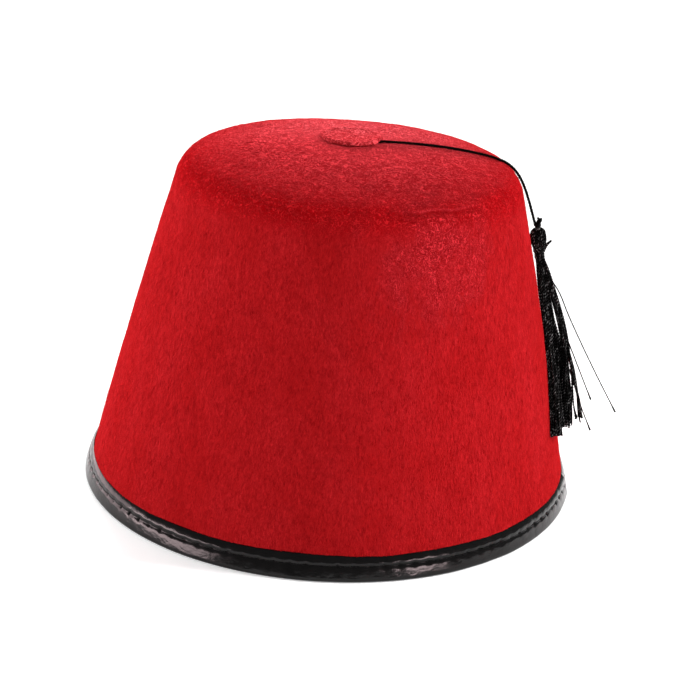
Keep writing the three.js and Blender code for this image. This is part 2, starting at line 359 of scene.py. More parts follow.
class Finish:
    """Node tree of one material, built round its principled shader."""

    def __init__(self, name, constants):
        self.material = bpy.data.materials.new(name)
        self.material.use_nodes = True
        self.tree = self.material.node_tree
        self.shader = self.tree.nodes["Principled BSDF"]
        self.feed(self.shader, constants)
        self.place = self.node("ShaderNodeTexCoord", {}).outputs["Object"]

    def feed(self, node, inputs):
        for name, value in inputs.items():
            if isinstance(value, bpy.types.NodeSocket):
                self.tree.links.new(value, node.inputs[name])
            else:
                node.inputs[name].default_value = value

    def node(self, kind, inputs, **settings):
        made = self.tree.nodes.new(kind)
        for name, value in settings.items():
            setattr(made, name, value)
        self.feed(made, inputs)
        return made

    def axes(self, vector):
        return tuple(self.node("ShaderNodeSeparateXYZ", {"Vector": vector}).outputs)

    def measure(self, operation, vector):
        """Number that a vector operation makes of a spot's place and the given vector."""
        made = self.node("ShaderNodeVectorMath", {0: self.place, 1: vector}, operation=operation)
        return made.outputs["Value"]

    def noise(self, scale, detail=2.0, rough=0.6, warp=0.0):
        """Noise with so many bumps to the metre, a number or one for each axis."""
        scale = np.broadcast_to(scale, 3)
        spot = self.node("ShaderNodeMapping", {"Vector": self.place, "Scale": scale}).outputs[0]
        inputs = {"Vector": spot, "Scale": 1.0, "Detail": detail, "Roughness": rough, "Distortion": warp}
        return self.node("ShaderNodeTexNoise", inputs).outputs["Fac"]

    def ridges(self, scale, wide):
        """Curly ridges, where the noise is within so much of its middle value."""
        middle = self.math("SUBTRACT", self.noise(scale, detail=0.6, warp=1.2), NOISE_MIDDLE)
        return self.spread(self.math("ABSOLUTE", middle), 0.0, wide, 1.0, 0.0)

    def math(self, operation, first, second=0.0):
        return self.node("ShaderNodeMath", {0: first, 1: second}, operation=operation).outputs[0]

    def spread(self, value, low, high, to_low=0.0, to_high=1.0):
        inputs = {"Value": value, "From Min": low, "From Max": high, "To Min": to_low, "To Max": to_high}
        return self.node("ShaderNodeMapRange", inputs).outputs[0]

    def between(self, share, first, second):
        """Number between two others."""
        return self.node("ShaderNodeMix", {0: share, 2: first, 3: second}, data_type="FLOAT").outputs[0]

    def tint(self, share, first, second):
        """Colour between two others."""
        return self.node("ShaderNodeMix", {0: share, 6: first, 7: second}, data_type="RGBA").outputs[2]

    def bump(self, height, distance):
        inputs = {"Height": height, "Distance": distance}
        self.feed(self.shader, {"Normal": self.node("ShaderNodeBump", inputs).outputs[0]})

    def finished(self, colour, roughness):
        self.feed(self.shader, {"Base Color": colour, "Roughness": roughness})
        return self.material


# Ruffled patch of the crown's felt, where the fibres curl and look lighter
PATCH_PLACE = (0.0588, -0.0317, 0.1110)
PATCH_INNER = 0.010
PATCH_OUTER = 0.044
PATCH_EDGE = 0.024  # how far its edge wanders
PATCH_WAVES = (110, 110, 70)
PATCH_PALE = 0.9

# Mould crease on the corner: its height, the azimuths it runs between, its depth and width
CREASE_HEIGHT = 0.1247
CREASE_FROM = HANG_ANGLE - math.radians(77)
CREASE_TO = HANG_ANGLE - math.radians(41)
CREASE_DEEP = 0.0012
CREASE_WIDE = 0.0009
CREASE_WANDER = 0.0002
CREASE_WAVES = (5, 17)
CREASE_STEEP = 6  # how soon it is at its full depth from its ends

# Painted shade as a dark line below the crease and a painted highlight as a light line above it: how far
# off, how wide, how strong and how broken up
LINE_AT = 0.6 * CREASE_WIDE
LINE_WIDE = 0.8 * CREASE_WIDE
LINE_STRONG = 2.6
LINE_BROKEN = 0.4

# Dark and light tones of the felt
WALL_TONES = (0.220, 0.0026, 0.0040, 1), (0.465, 0.0105, 0.0122, 1)
WORN_TONES = (0.24, 0.0035, 0.0058, 1), (0.90, 0.0400, 0.0550, 1)
CORNER_TONES = (0.35, 0.0014, 0.0030, 1), (0.64, 0.0120, 0.0165, 1)
# Painted shade and painted highlight for the crease's two lines
CREASE_SHADE_AND_HIGHLIGHT_TONES = (0.15, 0.0015, 0.0025, 1), (0.66, 0.0360, 0.0500, 1)
# Top tones: painted lighter and pinker than the wall's, for the light and sheen that the top catches
TOP_PAINTED_LIGHT_TONES = (0.31, 0.0065, 0.0105, 1), (0.83, 0.0560, 0.0700, 1)
# Painted sheen: paler, pinker tones for the top towards the back
PAINTED_SHEEN_TONES = (0.40, 0.0290, 0.0370, 1), (0.82, 0.1550, 0.1800, 1)
BUTTON_TONES = (0.42, 0.0130, 0.0170, 1), (0.82, 0.0660, 0.0800, 1)

# Heights over which the felt turns from the wall's to the corner's and to the top's, and loose fibres do
CORNER_BLEND = (0.114, 0.122)
TOP_BLEND = (0.1254, 0.1346)
FIBRE_BLEND = (0.1240, 0.1344)

# Painted sheen, for the back light grazing the far top: where the top begins to be paler towards the back,
# and where it is palest
PAINTED_SHEEN_FROM = -0.012
PAINTED_SHEEN_TO = 0.055

# Plainer left of the wall, painted for the flatter light on that side that shows less of the felt's relief:
# where it is plainest, where it ends, and the share of the pattern left
PLAIN_FROM = -0.09
PLAIN_TO = -0.02
PLAIN_SHARE = 0.55

# Pressed smoother round the button: the share of the pattern left on the crown and on the button
CALM_MIDDLE = (0, 0, 0.135)
CALM_INNER = 0.013
CALM_OUTER = 0.036
CROWN_CALM = 0.4
BUTTON_CALM = 1.0

# Curls, wrinkles, streaks, fibres, clouds and dye to the metre, and how wide the ridges are
CURLS = 700
TOP_WRINKLES = 440
BUTTON_WRINKLES = 520
STREAKS = (1300, 1300, 280)
FELT_GRAIN = (3000, 3000, 1100)
FELT_CLOUDS = (60, 60, 40)
FIBRE_DYE = 350
CURL_WIDE = 0.07
WRINKLE_WIDE = 0.08

# Sums of the noises that the dark and the light tones of the wall and of the curly felt stand for
WALL_RANGE = (0.68, 1.32)
CURLY_RANGE = (0.42, 1.18)
CLOUD_RANGE = (0.35, 0.75)
CLOUD_PALE = 0.18

# Felt's grain: depth, values of its noise, share that the wall has, and roughness of felt and fibres
GRAIN_DEEP = 0.0007
GRAIN_RANGE = (0.2, 0.8)
WALL_GRAIN = 0.35
FELT_ROUGH = (0.85, 1.0)
FIBRE_ROUGH = (0.80, 0.95)

# What all the felt has: no gloss, and a faint sheen of fibres that stand up
FELT_SURFACE = {
    "Specular IOR Level": 0.0,
    "Sheen Weight": 0.02,
    "Sheen Roughness": 0.3,
    "Sheen Tint": (1.0, 0.42, 0.46, 1.0),
}


def paint_crease_shade_and_highlight(felt, spot, pattern, colour):
    """The colour with a line of painted shade below and a line of painted highlight above the mould crease,
    broken up by the felt's pattern.
    """
    x, y, level = spot
    share = felt.spread(felt.math("ARCTAN2", y, x), CREASE_FROM, CREASE_TO)
    strength = felt.math("MULTIPLY", share, felt.math("SUBTRACT", 1.0, share))
    broken = felt.math("MULTIPLY", strength, felt.spread(pattern, 0.0, 1.0, LINE_BROKEN, 1.0))
    waves = [felt.math("SINE", felt.math("MULTIPLY", share, count)) for count in CREASE_WAVES]
    wander = felt.math("MULTIPLY", felt.math("ADD", *waves), CREASE_WANDER)
    over = felt.math("SUBTRACT", felt.math("SUBTRACT", level, CREASE_HEIGHT), wander)
    for way, tone in zip((-1, 1), CREASE_SHADE_AND_HIGHLIGHT_TONES):
        beside = felt.math("ABSOLUTE", felt.math("SUBTRACT", over, way * LINE_AT))
        line = felt.spread(beside, 0.0, LINE_WIDE, LINE_STRONG, 0.0)
        colour = felt.tint(felt.math("MULTIPLY", line, broken), colour, tone)
    return colour


def felt_finish(name, wrinkle_count, top_tones, calm):
    """Pressed felt: streaked up the wall, wrinkled over the corner and top, paler in the ruffled patch."""
    felt = Finish(name, FELT_SURFACE)
    spot = felt.axes(felt.place)
    on_top = felt.spread(spot[2], *TOP_BLEND)
    wrinkled = felt.spread(spot[2], *CORNER_BLEND)
    edge = felt.spread(felt.noise(PATCH_WAVES), *NOISE_RANGE, 0.0, PATCH_EDGE)
    from_patch = felt.math("ADD", felt.measure("DISTANCE", PATCH_PLACE), edge)
    ruffled = felt.spread(from_patch, PATCH_INNER, PATCH_OUTER, 1.0, 0.0)
    wrinkles = felt.ridges(wrinkle_count, WRINKLE_WIDE)
    curls = felt.ridges(CURLS, CURL_WIDE)
    streaks = felt.noise(STREAKS, warp=0.9)
    fibres = felt.noise(FELT_GRAIN, warp=0.8)
    curly = felt.math("MAXIMUM", wrinkled, ruffled)
    fine = felt.spread(felt.math("ADD", streaks, fibres), *WALL_RANGE)
    coarse = felt.spread(felt.math("ADD", felt.between(on_top, curls, wrinkles), fibres), *CURLY_RANGE)
    pattern = felt.between(curly, fine, coarse)
    clouds = felt.spread(felt.noise(FELT_CLOUDS, detail=3.0), *CLOUD_RANGE, 0.0, CLOUD_PALE)
    to_right = felt.measure("DOT_PRODUCT", hung((1, 0, 0)))
    # Painted light: the wall's pattern is weaker on its left, standing in for the flatter light there
    clear = felt.spread(to_right, PLAIN_FROM, PLAIN_TO, PLAIN_SHARE, 1.0)
    wall = felt.tint(felt.between(clear, NOISE_MIDDLE, pattern), *WALL_TONES)
    worn = felt.tint(pattern, *WORN_TONES)
    paler = felt.math("MAXIMUM", felt.math("MULTIPLY", ruffled, PATCH_PALE), clouds)
    corner = felt.math("MULTIPLY", wrinkled, felt.math("SUBTRACT", 1.0, ruffled))
    colour = felt.tint(corner, felt.tint(paler, wall, worn), felt.tint(pattern, *CORNER_TONES))
    # Painted shade and highlight: dark and light lines along the crease
    colour = paint_crease_shade_and_highlight(felt, spot, pattern, colour)
    # Painted sheen: the top is painted paler and pinker towards the back, where the back light grazes it
    behind = felt.spread(felt.measure("DOT_PRODUCT", hung((0, 1, 0))), PAINTED_SHEEN_FROM, PAINTED_SHEEN_TO)
    from_middle = felt.measure("DISTANCE", CALM_MIDDLE)
    contrast = felt.spread(from_middle, CALM_INNER, CALM_OUTER, calm, 1.0)
    calmed = felt.between(contrast, NOISE_MIDDLE, pattern)
    top = felt.tint(behind, felt.tint(calmed, *top_tones), felt.tint(calmed, *PAINTED_SHEEN_TONES))
    felt.bump(felt.between(curly, felt.math("MULTIPLY", fine, WALL_GRAIN), coarse), GRAIN_DEEP)
    # On the crown the top's tones are painted lighter than the wall's, for the light that falls on the top
    return felt.finished(felt.tint(on_top, colour, top), felt.spread(fibres, *GRAIN_RANGE, *FELT_ROUGH))


def fibre_finish():
    """Loose felt fibres, painted paler on top than on the wall, for the light that falls on the top."""
    fibre = Finish("felt_fibre", FELT_SURFACE)
    dye = fibre.spread(fibre.noise(FIBRE_DYE, detail=1.0), *NOISE_RANGE)
    on_top = fibre.spread(fibre.axes(fibre.place)[2], *FIBRE_BLEND)
    colour = fibre.tint(on_top, fibre.tint(dye, *WALL_TONES), fibre.tint(dye, *TOP_PAINTED_LIGHT_TONES))
    return fibre.finished(colour, fibre.spread(dye, 0.0, 1.0, *FIBRE_ROUGH))


# Binding tape: blacks, gloss, roughness, grain and handling marks to the metre, and their depth
VINYL_TONES = (0.0020, 0.0018, 0.0018, 1), (0.0050, 0.0042, 0.0042, 1)
VINYL_GLOSS = 0.22
VINYL_ROUGH = (0.12, 0.22)
VINYL_GRAIN = 2200
VINYL_MARKS = (180, 180, 320)
VINYL_DEEP = 0.00002
MARKS_DEEPER = 8.0  # times the grain's depth


def vinyl_finish():
    """Glossy black binding tape with a faint grain and handling marks."""
    vinyl = Finish("black_vinyl", {"Specular IOR Level": VINYL_GLOSS})
    grain = vinyl.noise(VINYL_GRAIN)
    marks = vinyl.noise(VINYL_MARKS)
    vinyl.bump(vinyl.math("ADD", grain, vinyl.math("MULTIPLY", marks, MARKS_DEEPER)), VINYL_DEEP)
    return vinyl.finished(vinyl.tint(marks, *VINYL_TONES), vinyl.spread(marks, *NOISE_RANGE, *VINYL_ROUGH))


# Black thread: blacks, wear and stretches with painted highlights to the metre, ridges round it and their
# depth
THREAD_TONES = (0.0006, 0.0005, 0.0005, 1), (0.0022, 0.0018, 0.0018, 1)
THREAD_WEAR = 900
# Painted highlights: the stretches and ridge values below set where pale colour is painted on the thread as
# glints
PAINTED_HIGHLIGHT_STRETCHES = (1500, 1500, 150)
PAINTED_HIGHLIGHT_FROM = (0.54, 0.72)  # values of the stretches and of the ridges where shine sets in
RIDGE_PAINTED_HIGHLIGHT = (0.45, 1.0)
THREAD_RIDGES = 2
THREAD_RIDGE_DEEP = 0.00009
THREAD_ROUGH_SPAN = 0.06
TWINE_PITCH = 0.0012
SEWING_PITCH = 0.0010


def thread_finish(name, pitch, rough, gloss, painted_highlight_colour):
    """Black thread whose twist has ridges, with painted highlights in its colour on the ridges of some
    stretches.
    """
    thread = Finish(name, {"Specular IOR Level": gloss})
    around, along, _ = thread.axes(thread.node("ShaderNodeUVMap", {}, uv_map="thread").outputs[0])
    turns = thread.math("SUBTRACT", around, thread.math("DIVIDE", along, pitch))
    ridge = thread.math("COSINE", thread.math("MULTIPLY", turns, math.tau * THREAD_RIDGES))
    wear = thread.noise(THREAD_WEAR)
    stretches = thread.spread(thread.noise(PAINTED_HIGHLIGHT_STRETCHES, detail=1.0), *PAINTED_HIGHLIGHT_FROM)
    # Painted highlights: pale colour on the ridges of some stretches, standing in for glints
    painted_highlight_share = thread.math("MULTIPLY", thread.spread(ridge, *RIDGE_PAINTED_HIGHLIGHT), stretches)
    roughness = thread.spread(wear, *NOISE_RANGE, rough - THREAD_ROUGH_SPAN, rough + THREAD_ROUGH_SPAN)
    thread.bump(ridge, THREAD_RIDGE_DEEP)
    return thread.finished(thread.tint(painted_highlight_share, thread.tint(wear, *THREAD_TONES), painted_highlight_colour), roughness)


def floor_finish():
    """Plain pale studio floor with a painted glow that washes out the hat's shadow, and painted darker
    towards the strongest light so that it looks evenly pale.
    """
    floor = Finish("pale_floor", {
        "Specular IOR Level": 0.0,
        "Emission Color": (1, 1, 1, 1),
        "Emission Strength": FLOOR_PAINTED_GLOW,
    })
    tone = floor.noise(FLOOR_PATCHES)
    towards = floor.measure("DOT_PRODUCT", hung((0, 1, 0)))
    # Painted shade: darker towards the back, where the strongest light falls, so that the floor looks evenly
    # pale
    back = floor.spread(towards, 0.0, FLOOR_MIDDLING_AT)
    far = floor.spread(towards, FLOOR_MIDDLING_AT, FLOOR_DARKEST_AT)
    middle = floor.tint(back, floor.tint(tone, *FLOOR_PALE), FLOOR_SHADE_MID)
    colour = floor.tint(far, middle, FLOOR_SHADE_DEEPEST)
    return floor.finished(colour, floor.spread(tone, *NOISE_RANGE, *FLOOR_ROUGH))


# Crown

CROWN_COLUMNS = 440
WALL_ROWS = 90
CORNER_ROWS = 36
DOME_ROWS = 60
DOME_MIDDLE = 0.009  # the dome inside this radius lies under the button
MIDDLE_ROWS = 3
INNER_WALL_ROWS = 18
INNER_CORNER_ROWS = 8
INNER_DOME_ROWS = 6

WALL_BULGE = 0.0005  # how far the wall stands out from a straight line at half its height

# Unevenness of the pressed felt: height, width along each axis, seed
FELT_BUMPS = [
    (0.00022, (0.024, 0.024, 0.040), 1),
    (0.00010, (0.007, 0.007, 0.011), 2),
    (0.00006, (0.003, 0.003, 0.006), 3),
]

# Wrinkles over the corner and the top: where they set in, how wide and deep, and what bends them
WRINKLES_RISE = (0.116, 0.128)
WRINKLE_CELL = 0.0032
WRINKLE_SEED = 7
WRINKLE_DEEP = 0.0003
WRINKLE_LEVEL = 0.3
WRINKLE_BENDS = [[(0.0012, 0.004, seed)] for seed in (4, 5, 6)]


def crown_face(inset, wall_rows, corner_rows, dome_rows):
    """Profile of one face of the crown, from its foot to the axis."""
    corner = arc(round_centre, CORNER_ROUND - inset, round_from, round_to, corner_rows)
    middle = math.acos(DOME_MIDDLE / dome_radius)
    dome = arc(dome_centre, dome_radius - inset, round_to, middle, dome_rows)
    cap = arc(dome_centre, dome_radius - inset, middle, math.pi / 2, MIDDLE_ROWS)
    wall = wall_points(inset, np.linspace(TAPE + GAP, corner[0][1], wall_rows)[:-1])
    return np.concatenate([wall, corner, dome[1:], cap[1:]])


def profile_normals(profile):
    along = unit(np.gradient(profile, axis=0))
    return np.stack([along[:, 1], -along[:, 0]], axis=1)


def felt_relief(points):
    """How far the felt's surface stands out from its smooth form."""
    x, y, level = np.moveaxis(points, -1, 0)
    rise = np.clip(level / CORNER_HEIGHT, 0, 1)
    relief = WALL_BULGE * 4 * rise * (1 - rise)
    relief += bumps(points, FELT_BUMPS)
    bend = np.stack([bumps(points, rows) for rows in WRINKLE_BENDS], axis=-1)
    wrinkle = np.abs(lattice_noise(points + bend, WRINKLE_CELL, WRINKLE_SEED))
    relief += WRINKLE_DEEP * share_between(level, *WRINKLES_RISE) * (WRINKLE_LEVEL - wrinkle)
    share = (np.arctan2(y, x) - CREASE_FROM) / (CREASE_TO - CREASE_FROM)
    strength = np.clip(CREASE_STEEP * share * (1 - share), 0, 1)
    wander = CREASE_WANDER * sum(np.sin(count * share) for count in CREASE_WAVES)
    offset = (level - CREASE_HEIGHT - wander) / CREASE_WIDE
    return relief + CREASE_DEEP * strength * offset * np.exp(0.5 - offset ** 2)


def build_crown(finish):
    outer = crown_face(0, WALL_ROWS, CORNER_ROWS, DOME_ROWS)
    inner = crown_face(FELT, INNER_WALL_ROWS, INNER_CORNER_ROWS, INNER_DOME_ROWS)[::-1]
    profile = np.concatenate([inner, outer])
    normals = np.concatenate([profile_normals(inner), profile_normals(outer)])
    azimuth = all_round(CROWN_COLUMNS)
    points = carried_round(profile[:, [0]], profile[:, [1]], azimuth)
    ways = normals[:, [0], None] * level_ways(azimuth) + normals[:, [1], None] * UP
    points += ways * felt_relief(points)[..., None]
    heap = Heap()
    heap.add_turned(points)
    heap.piece("felt_crown", finish, "red_felt", "crown")


# Loose fibres that lie on the crown's felt

FIBRES = 30000
FIBRE_STEPS = 4
FIBRES_OVER = 0.0085  # lowest, beside the tape
FIBRES_ROUND = 1.05 * BUTTON_RADIUS
FIBRES_TURN = (0.114, 0.126)  # heights over which they stop lying up the wall
FIBRE_HEADING = 0.45
FIBRE_BEND = 0.5
FIBRE_LENGTHS = (0.0012, 0.0032)
FIBRE_WIDTHS = (0.00005, 0.00010)
FIBRE_LIFT = 0.00014
FIBRE_ARCH = (0.15, 0.90)  # stretch of a half wave that its lift follows, and its width
FIBRE_TAPER = (0.20, 0.85)


def half_wave(along, start, end):
    """Height of a half wave on the stretch of it between two shares."""
    return math.sin(math.pi * (start + (end - start) * along))


def build_fibres(finish):
    outer = crown_face(0, WALL_ROWS, CORNER_ROWS, DOME_ROWS)
    normals = profile_normals(outer)
    place = lengths_along(outer)
    shown = (outer[:, 1] > FIBRES_OVER) & (outer[:, 0] > FIBRES_ROUND)
    area = np.cumsum(outer[:, 0] * np.gradient(place) * shown)
    spot = np.interp(chance.uniform(0, area[-1], FIBRES), area, place)
    radius, height, normal_out, normal_up = (
        np.interp(spot, place, column) for column in (*outer.T, *normals.T)
    )
    azimuth = chance.uniform(0, math.tau, FIBRES)
    base = carried_round(radius, height, azimuth)
    outward = level_ways(azimuth)
    normal = normal_out[:, None] * outward + normal_up[:, None] * UP
    side = np.cross(UP, outward)
    slope = np.cross(normal, side)
    on_top = share_between(height, *FIBRES_TURN)
    heading = chance.normal(0, FIBRE_HEADING, FIBRES) * (1 - on_top)
    heading += chance.uniform(0, math.pi, FIBRES) * on_top
    length = chance.uniform(*FIBRE_LENGTHS, FIBRES)
    width = chance.uniform(*FIBRE_WIDTHS, FIBRES)
    bend = chance.normal(0, FIBRE_BEND, FIBRES)
    base += normal * felt_relief(base)[:, None]
    rows = []
    for step in range(FIBRE_STEPS):
        along = step / (FIBRE_STEPS - 1)
        turn = (heading + bend * (along - 0.5))[:, None]
        ahead = np.cos(turn) * slope + np.sin(turn) * side
        beside = np.cos(turn) * side - np.sin(turn) * slope
        lift = FIBRE_LIFT * half_wave(along, *FIBRE_ARCH)
        middle = base + ahead * (length * (along - 0.5))[:, None] + normal * lift
        thin = (width * half_wave(along, *FIBRE_TAPER))[:, None]
        rows += [middle - beside * thin, middle + beside * thin]
    points = np.stack(rows, axis=1).reshape(-1, 3)
    start = 2 * FIBRE_STEPS * np.arange(FIBRES)[:, None, None]
    strip = 2 * np.arange(FIBRE_STEPS - 1)[:, None] + np.array([0, 1, 3, 2])
    heap = Heap()
    heap.add(points, (start + strip).reshape(-1, 4))
    heap.piece("felt_fibres", finish, "red_felt")


# Rim binding

STITCHES = 106
RIM_COLUMNS = 14 * STITCHES
STITCH_LINE = 0.0057  # height of the seam on the outside
INNER_SEAM = 0.0054
SEAM_DEEP = 0.0004
SEAM_WIDE = 0.0006
SEAM_GROOVE = 0.45  # shares of the depth for the groove, its dents and its puckers
SEAM_DENT = 1.1
SEAM_PUCKER = 0.16
PUCKER_WIDE = 2.6 * SEAM_WIDE
HOLE_WIDE = 0.09  # as a share of a stitch
HOLES_UNEVEN = (0.5, 1.3)
HOLE_SEEDS = (21, 22)
SEWING_THREAD = 0.0002
SEWING_SIDES = 6
SEWING_STANDS = (-0.00092, FELT + 0.0008)  # from the felt's outer face, outside and inside
SEWING_SINK = 0.0005  # how far the thread dips at a hole, and how wide
SEWING_SINK_WIDE = 0.12

# Outer leg down to the fold: height, and how far it stands from the felt
OUTER_LEG = np.array([
    (0.0090, 0.0000), (0.0087, 0.0003), (0.0083, 0.0006),
    (0.0078, 0.00085), (0.0072, 0.00105), (0.0067, 0.00112),
    (0.0061, 0.00108), (0.0057, 0.00105), (0.0053, 0.0011),
    (0.0049, 0.0012), (0.0043, 0.00127), (0.0035, 0.00131),
    (0.0026, 0.00134), (0.0018, 0.00136), (0.0011, 0.00134),
    (0.0006, 0.0012), (0.0002, 0.0008), (0.0000, 0.0000),
])

# Inner leg up from the fold: height, and how far it stands from the felt's inner face
INNER_LEG = np.array([
    (0.0000, -0.0013), (0.0001, -0.0002), (0.0005, 0.0005),
    (0.0012, 0.0009), (0.0022, 0.0011), (0.0034, 0.00112),
    (0.0045, 0.00105), (0.0050, 0.00095), (0.0054, 0.0009),
    (0.0058, 0.00095), (0.0064, 0.00105), (0.0072, 0.00105),
    (0.0078, 0.0009), (0.0082, 0.0005), (0.0081, 0.0001),
])

# Where the tape's end overlaps its start, under the tassel
TAPE_END = HANG_ANGLE - math.radians(5)
TAPE_END_RUN = math.radians(9)
TAPE_END_RISE = 0.0005
TAPE_END_STEEP = 12

# Lumps of the tape: height, width and seed, where it is lumpiest and the share of that elsewhere
TAPE_LUMPS = [
    (0.00020, 0.0090, 11),
    (0.00005, 0.0035, 12),
]
LUMPS_AT = HANG_ANGLE + math.radians(325)
LUMPS_WIDE = math.radians(24)
LUMPS_ELSEWHERE = 0.25

# Waves of the upper edge, and how far the outer leg's first rows follow them
EDGE_WAVES = [(0.0004, 0.022, 13)]
EDGE_FOLLOWS = np.array([[1.0], [1.0], [0.8], [0.5]])


def holes_near(azimuth):
    """Distance from the nearest needle hole as a share of a stitch, and its number."""
    turn = azimuth * STITCHES / math.tau
    return (turn + 0.5) % 1 - 0.5, np.floor(turn + 0.5).astype(int) % STITCHES


def seam_relief(height, line, azimuth, seed):
    """Groove of a seam, with a dent at each needle hole and puckers between the holes."""
    beside, hole = holes_near(azimuth)
    uneven = np.random.default_rng(seed).uniform(*HOLES_UNEVEN, STITCHES)[hole]
    groove = bell(height - line, SEAM_WIDE)
    dent = groove * bell(beside, HOLE_WIDE) * uneven
    pucker = bell(height - line, PUCKER_WIDE) * np.cos(math.tau * beside) * uneven
    return -SEAM_DEEP * (SEAM_GROOVE * groove + SEAM_DENT * dent + SEAM_PUCKER * pucker)


def overlap_relief(azimuth):
    """Slow rise of the tape towards its end, and the step down behind it."""
    share = (azimuth - TAPE_END) / TAPE_END_RUN + 1
    return TAPE_END_RISE * np.clip(share, 0, 1) * np.clip((1 - share) * TAPE_END_STEEP, 0, 1)


def build_tape(finish):
    azimuth = all_round(RIM_COLUMNS)
    outside = wall_points(-OUTER_LEG[:, 1], OUTER_LEG[:, 0])
    inside = wall_points(FELT + INNER_LEG[:, 1], INNER_LEG[:, 0])
    hidden = wall_points(FELT / 2, (TAPE_INSIDE, 2 * TAPE))
    profile = np.concatenate([outside, inside, hidden])
    points = carried_round(profile[:, [0]], profile[:, [1]], azimuth)
    lumps = bumps(points, TAPE_LUMPS)
    lumps *= LUMPS_ELSEWHERE + bell(azimuth - LUMPS_AT, LUMPS_WIDE)
    outer = slice(0, len(outside))
    inner = slice(len(outside) + 2, len(outside) + len(inside))
    thick = np.clip(OUTER_LEG[:, 1:] / TAPE, 0, 1)
    push = np.zeros(points.shape[:2])
    push[outer] = seam_relief(points[outer][..., 2], STITCH_LINE, azimuth, HOLE_SEEDS[0])
    push[outer] += lumps[outer] + overlap_relief(azimuth)
    push[outer] *= thick
    push[inner] = -seam_relief(points[inner][..., 2], INNER_SEAM, azimuth, HOLE_SEEDS[1]) - lumps[inner]
    points += push[..., None] * level_ways(azimuth)
    points[:len(EDGE_FOLLOWS), :, 2] += bumps(points[1], EDGE_WAVES) * EDGE_FOLLOWS
    heap = Heap()
    heap.add(np.concatenate([points, points[:1]]).reshape(-1, 3), grid_quads(len(points) + 1, RIM_COLUMNS))
    heap.piece("rim_tape", finish, "black_vinyl_tape", "rim_binding")


def build_stitches(finish):
    azimuth = all_round(RIM_COLUMNS)
    beside, _ = holes_near(azimuth)
    sink = SEWING_SINK * bell(beside, SEWING_SINK_WIDE)[:, None] * level_ways(azimuth)
    heap = Heap()
    for line, inset, dip in zip((STITCH_LINE, INNER_SEAM), SEWING_STANDS, (-1, 1)):
        radius, height = wall_points(inset, line)[0]
        heap.add_loop(carried_round(radius, height, azimuth) + dip * sink, SEWING_THREAD, SEWING_SIDES)
    heap.piece("rim_stitches", finish, "black_thread")


# Button

BUTTON_COLUMNS = 240
BUTTON_LIFT = 0.0008  # where the cord comes out from under it
BUTTON_LIFT_WIDE = 0.0032
BUTTON_BUMPS = [
    (0.000180, 0.0022, 31),
    (0.000108, 0.0011, 32),
]
BUTTON_RAGGED = [  # waves of its cut edge: size, count and phase
    (0.00018, 3, 1),
    (0.00012, 7, 0),
    (0.00010, 16, 0),
]
BUTTON_FLAT = 0.94  # share of the radius inside its rounded edge
BUTTON_RIM = 0.0004  # how far its rim stands up, where on the radius and how wide
BUTTON_RIM_AT = 0.90
BUTTON_RIM_WIDE = 0.08
UNDER_ROWS = 8
EDGE_ROWS = 7
TOP_ROWS = 26


def build_button(finish):
    bend = np.linspace(-math.pi / 2, math.pi / 2, EDGE_ROWS)
    under = np.linspace(0, BUTTON_FLAT, UNDER_ROWS)
    edge = BUTTON_FLAT + (1 - BUTTON_FLAT) * np.cos(bend)
    over = np.linspace(BUTTON_FLAT, 0, TOP_ROWS)[1:]
    reach = np.concatenate([under, edge[1:], over])[:, None]
    lift = np.concatenate([0 * under, 0.5 + 0.5 * np.sin(bend[1:]), 0 * over + 1])[:, None]
    azimuth = all_round(BUTTON_COLUMNS)
    ragged = sum(size * np.sin(waves * azimuth + phase) for size, waves, phase in BUTTON_RAGGED)
    plan = (BUTTON_RADIUS * reach + ragged * reach ** 4)[..., None] * level_ways(azimuth)[:, :2]
    cord_way = unit(np.array(CORD_ROUTE[0][:2]) + (BUTTON_SHIFT, 0))
    off = plan @ np.array([cord_way[1], -cord_way[0]])
    ahead = np.clip(plan @ cord_way / BUTTON_RADIUS, 0, 1)
    hump = BUTTON_LIFT * bell(off, BUTTON_LIFT_WIDE) * ahead ** 3
    plan[..., 0] -= BUTTON_SHIFT
    dome = dome_centre[1] + np.sqrt(dome_radius ** 2 - (plan ** 2).sum(axis=-1))
    rim = BUTTON_RIM * bell(reach - BUTTON_RIM_AT, BUTTON_RIM_WIDE)
    points = np.dstack([plan, dome + hump + (BUTTON_THICK + rim) * lift])
    points[..., 2] += bumps(points, BUTTON_BUMPS) * lift
    heap = Heap()
    heap.add_turned(hung(points))
    heap.piece("felt_button", finish, "red_felt", "top_button")


# Cord and its knot, with the cord's cut end standing up beside the knot

KNOT_PLACE = (0.0722, 0.0036, 0.1058)
KNOT_REACH = 0.00036
KNOT_DEEP = 1.6
KNOT_PITCH = 0.0021
KNOT_STEPS = 90
TAIL_STEPS = 24
TAIL_THICK = 1.5
TAIL_FLARE = 0.7
TAIL_FILL = np.linspace(1.2, 2.6, TAIL_STEPS) * PLY_RADIUS  # inside its plies
TAIL_SIDES = 9
KNOT_TAIL = [
    (0.0720, 0.0036, 0.1054), (0.0724, 0.0036, 0.1061),
    (0.0727, 0.0035, 0.1072), (0.0729, 0.0034, 0.1083),
]
KNOT_STEM = [
    (0.0709, 0.0039, 0.1071), (0.0713, 0.0038, 0.1063),
    (0.0720, 0.0036, 0.1052), (0.0726, 0.0034, 0.1040),
]


def add_cord(heap, path, pitch, flare=0.0, thick=1.0):
    """Plies wound round a path, which spread towards its end by a share of their reach."""
    across, other = frames_along(path)
    length = lengths_along(path)[:, None]
    reach = thick * PLY_RADIUS * (1 + flare * (length / length[-1]) ** 2)
    for ply in range(CORD_PLIES):
        angle = math.tau * (length / pitch + ply / CORD_PLIES)
        winding = path + reach * (np.cos(angle) * across + np.sin(angle) * other)
        heap.add_tube(winding, thick * PLY_RADIUS, PLY_SIDES)


